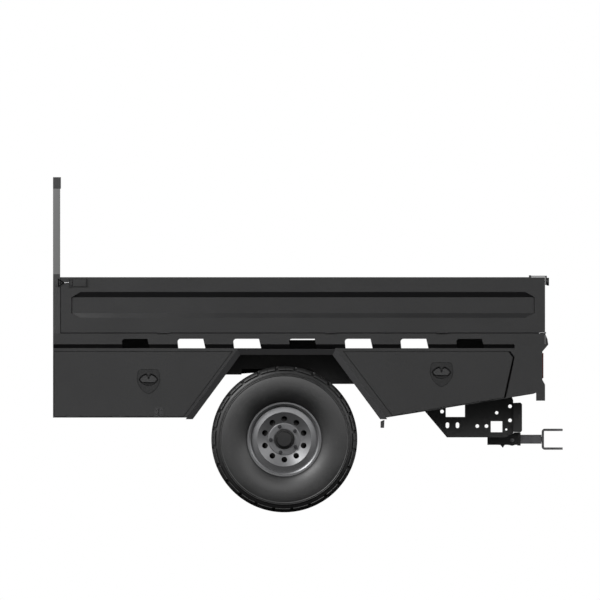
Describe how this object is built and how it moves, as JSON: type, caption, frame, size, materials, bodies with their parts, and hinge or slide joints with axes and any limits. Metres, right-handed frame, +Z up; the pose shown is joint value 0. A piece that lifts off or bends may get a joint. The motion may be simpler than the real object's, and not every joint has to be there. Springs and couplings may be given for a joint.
{
  "type": "tow behind cart",
  "caption": "Single-axle tow-behind flatbed cart with folding drop sides, a tapered headboard, under-deck tool boxes and a drawbar with a fork.",
  "frame": {"origin": "on the ground under the middle of the overall box", "axes": "+X to the hitch, +Y to the left, +Z up"},
  "size_m": [2.834, 1.88, 1.864],
  "materials": {
    "frame_paint": "satin black paint",
    "arch_paint": "satin black paint",
    "hub_iron": "black painted casting",
    "body_paint": "fine-textured charcoal powder coat",
    "post_paint": "fine-textured charcoal powder coat",
    "deck_metal": "black powder coat",
    "lamp_lens": "dark red moulded lens",
    "flap_rubber": "moulded rubber",
    "bare_steel": "zinc plated steel",
    "forged_steel": "painted forging",
    "rim_steel": "silver painted steel wheel",
    "tyre_rubber": "tyre rubber",
    "nut_steel": "black plated nuts",
    "lock_plastic": "satin black moulding",
    "handle_metal": "satin black paint"
  },
  "bodies": {
    "frame": {"chassis_rail_left": "frame_paint", "chassis_rail_right": "frame_paint", "frame_cross_tubes": "frame_paint", "cross_bearers": "frame_paint", "deck_planks": "deck_metal", "side_rail_left": "body_paint", "side_rail_right": "body_paint", "end_rails": "body_paint", "headboard_frame": "post_paint", "headboard_panel": "body_paint", "headboard_bars": "post_paint", "corner_skirts": "body_paint", "tail_lamps": "lamp_lens", "wheel_arches": "arch_paint", "box_rear_left": "body_paint", "box_rear_right": "body_paint", "box_front_left": "body_paint", "box_front_right": "body_paint", "mud_flaps": "flap_rubber", "hitch_plates": "frame_paint", "hitch_beam": "frame_paint", "receiver": "frame_paint", "drawbar_shank": "bare_steel", "hitch_pin": "bare_steel", "torsion_axle": "frame_paint", "pins_and_bolts": "bare_steel"},
    "clevis": {"clevis_fork": "forged_steel"},
    "arm_left": {"torsion_arm_left": "frame_paint"},
    "wheel_left": {"hub_left": "hub_iron", "rim_left": "rim_steel", "tyre_left": "tyre_rubber", "lug_nuts_left": "nut_steel", "hub_cap_left": "lock_plastic"},
    "side_left": {"dropside_left": "body_paint"},
    "hook_left": {"latch_hook_left": "bare_steel"},
    "lever_left": {"latch_lever_left": "body_paint"},
    "hasp_left": {"gate_latch_left": "frame_paint"},
    "arm_right": {"torsion_arm_right": "frame_paint"},
    "wheel_right": {"hub_right": "hub_iron", "rim_right": "rim_steel", "tyre_right": "tyre_rubber", "lug_nuts_right": "nut_steel", "hub_cap_right": "lock_plastic"},
    "side_right": {"dropside_right": "body_paint"},
    "hook_right": {"latch_hook_right": "bare_steel"},
    "lever_right": {"latch_lever_right": "body_paint"},
    "hasp_right": {"gate_latch_right": "frame_paint"},
    "gate": {"tailgate": "body_paint"},
    "door_rear_left": {"door_rear_left": "body_paint", "lock_dish_rear_left": "lock_plastic"},
    "handle_rear_left": {"lock_handle_rear_left": "handle_metal"},
    "door_rear_right": {"door_rear_right": "body_paint", "lock_dish_rear_right": "lock_plastic"},
    "handle_rear_right": {"lock_handle_rear_right": "handle_metal"},
    "door_front_left": {"door_front_left": "body_paint", "lock_dish_front_left": "lock_plastic"},
    "handle_front_left": {"lock_handle_front_left": "handle_metal"},
    "door_front_right": {"door_front_right": "body_paint", "lock_dish_front_right": "lock_plastic"},
    "handle_front_right": {"lock_handle_front_right": "handle_metal"}
  },
  "joints": [
    {"name": "clevis_swivel", "type": "hinge", "parent": "frame", "child": "clevis", "pos_m": [1.289, 0, 0.407], "axis": [1, 0, 0], "continuous": true},
    {"name": "torsion_arm_left", "type": "hinge", "parent": "frame", "child": "arm_left", "pos_m": [0.014, 0.565, 0.4585], "axis": [0, 1, 0], "range_deg": [-12, 20], "stiffness_Nm_per_rad": 6000, "springref_deg": -3.44},
    {"name": "wheel_spin_left", "type": "hinge", "parent": "arm_left", "child": "wheel_left", "pos_m": [-0.131, 0.744, 0.4065], "axis": [0, 1, 0], "continuous": true},
    {"name": "dropside_fold_left", "type": "hinge", "parent": "frame", "child": "side_left", "pos_m": [0, 0.9265, 0.998], "axis": [-1, 0, 0], "range_deg": [0, 170]},
    {"name": "latch_hook_slide_left", "type": "slide", "parent": "side_left", "child": "hook_left", "axis": [-1, 0, 0], "range_m": [0, 0.01]},
    {"name": "latch_lever_left", "type": "hinge", "parent": "side_left", "child": "lever_left", "pos_m": [-1.323, 0.933, 1.277], "axis": [0, 0, 1], "range_deg": [0, 100]},
    {"name": "corner_hasp_left", "type": "hinge", "parent": "side_left", "child": "hasp_left", "pos_m": [1.235, 0.91, 1.314], "axis": [0, -1, 0], "range_deg": [0, 110]},
    {"name": "torsion_arm_right", "type": "hinge", "parent": "frame", "child": "arm_right", "pos_m": [0.014, -0.565, 0.4585], "axis": [0, 1, 0], "range_deg": [-12, 20], "stiffness_Nm_per_rad": 6000, "springref_deg": -3.44},
    {"name": "wheel_spin_right", "type": "hinge", "parent": "arm_right", "child": "wheel_right", "pos_m": [-0.131, -0.744, 0.4065], "axis": [0, 1, 0], "continuous": true},
    {"name": "dropside_fold_right", "type": "hinge", "parent": "frame", "child": "side_right", "pos_m": [0, -0.9265, 0.998], "axis": [1, 0, 0], "range_deg": [0, 170]},
    {"name": "latch_hook_slide_right", "type": "slide", "parent": "side_right", "child": "hook_right", "axis": [-1, 0, 0], "range_m": [0, 0.01]},
    {"name": "latch_lever_right", "type": "hinge", "parent": "side_right", "child": "lever_right", "pos_m": [-1.323, -0.933, 1.277], "axis": [0, 0, -1], "range_deg": [0, 100]},
    {"name": "corner_hasp_right", "type": "hinge", "parent": "side_right", "child": "hasp_right", "pos_m": [1.235, -0.91, 1.314], "axis": [0, -1, 0], "range_deg": [0, 110]},
    {"name": "tailgate_fold", "type": "hinge", "parent": "frame", "child": "gate", "pos_m": [1.3205, 0, 0.998], "axis": [0, 1, 0], "range_deg": [0, 150]},
    {"name": "box_door_rear_left", "type": "hinge", "parent": "frame", "child": "door_rear_left", "pos_m": [-1.413, 0.925, 0.5335], "axis": [-1, 0, 0], "range_deg": [0, 95]},
    {"name": "lock_handle_rear_left", "type": "hinge", "parent": "door_rear_left", "child": "handle_rear_left", "pos_m": [-0.886, 0.911, 0.754], "axis": [1, 0, 0], "range_deg": [0, 35], "stiffness_Nm_per_rad": 0.3, "springref_deg": -8.59},
    {"name": "box_door_rear_right", "type": "hinge", "parent": "frame", "child": "door_rear_right", "pos_m": [-1.413, -0.925, 0.5335], "axis": [1, 0, 0], "range_deg": [0, 95]},
    {"name": "lock_handle_rear_right", "type": "hinge", "parent": "door_rear_right", "child": "handle_rear_right", "pos_m": [-0.886, -0.911, 0.754], "axis": [-1, 0, 0], "range_deg": [0, 35], "stiffness_Nm_per_rad": 0.3, "springref_deg": -8.59},
    {"name": "box_door_front_left", "type": "hinge", "parent": "frame", "child": "door_front_left", "pos_m": [0.46905, 0.925, 0.53898], "axis": [-0.9873, 0, -0.1591], "range_deg": [0, 95]},
    {"name": "lock_handle_front_left", "type": "hinge", "parent": "door_front_left", "child": "handle_front_left", "pos_m": [0.743, 0.911, 0.793], "axis": [1, 0, 0], "range_deg": [0, 35], "stiffness_Nm_per_rad": 0.3, "springref_deg": -8.59},
    {"name": "box_door_front_right", "type": "hinge", "parent": "frame", "child": "door_front_right", "pos_m": [0.46905, -0.925, 0.53898], "axis": [0.9873, 0, 0.1591], "range_deg": [0, 95]},
    {"name": "lock_handle_front_right", "type": "hinge", "parent": "door_front_right", "child": "handle_front_right", "pos_m": [0.743, -0.911, 0.793], "axis": [-1, 0, 0], "range_deg": [0, 35], "stiffness_Nm_per_rad": 0.3, "springref_deg": -8.59}
  ],
  "couplings": [
    {"joint": "latch_hook_slide_left", "follows": "latch_lever_left", "m_per_rad": 0.0057238},
    {"joint": "latch_hook_slide_right", "follows": "latch_lever_right", "m_per_rad": 0.0057238}
  ]
}
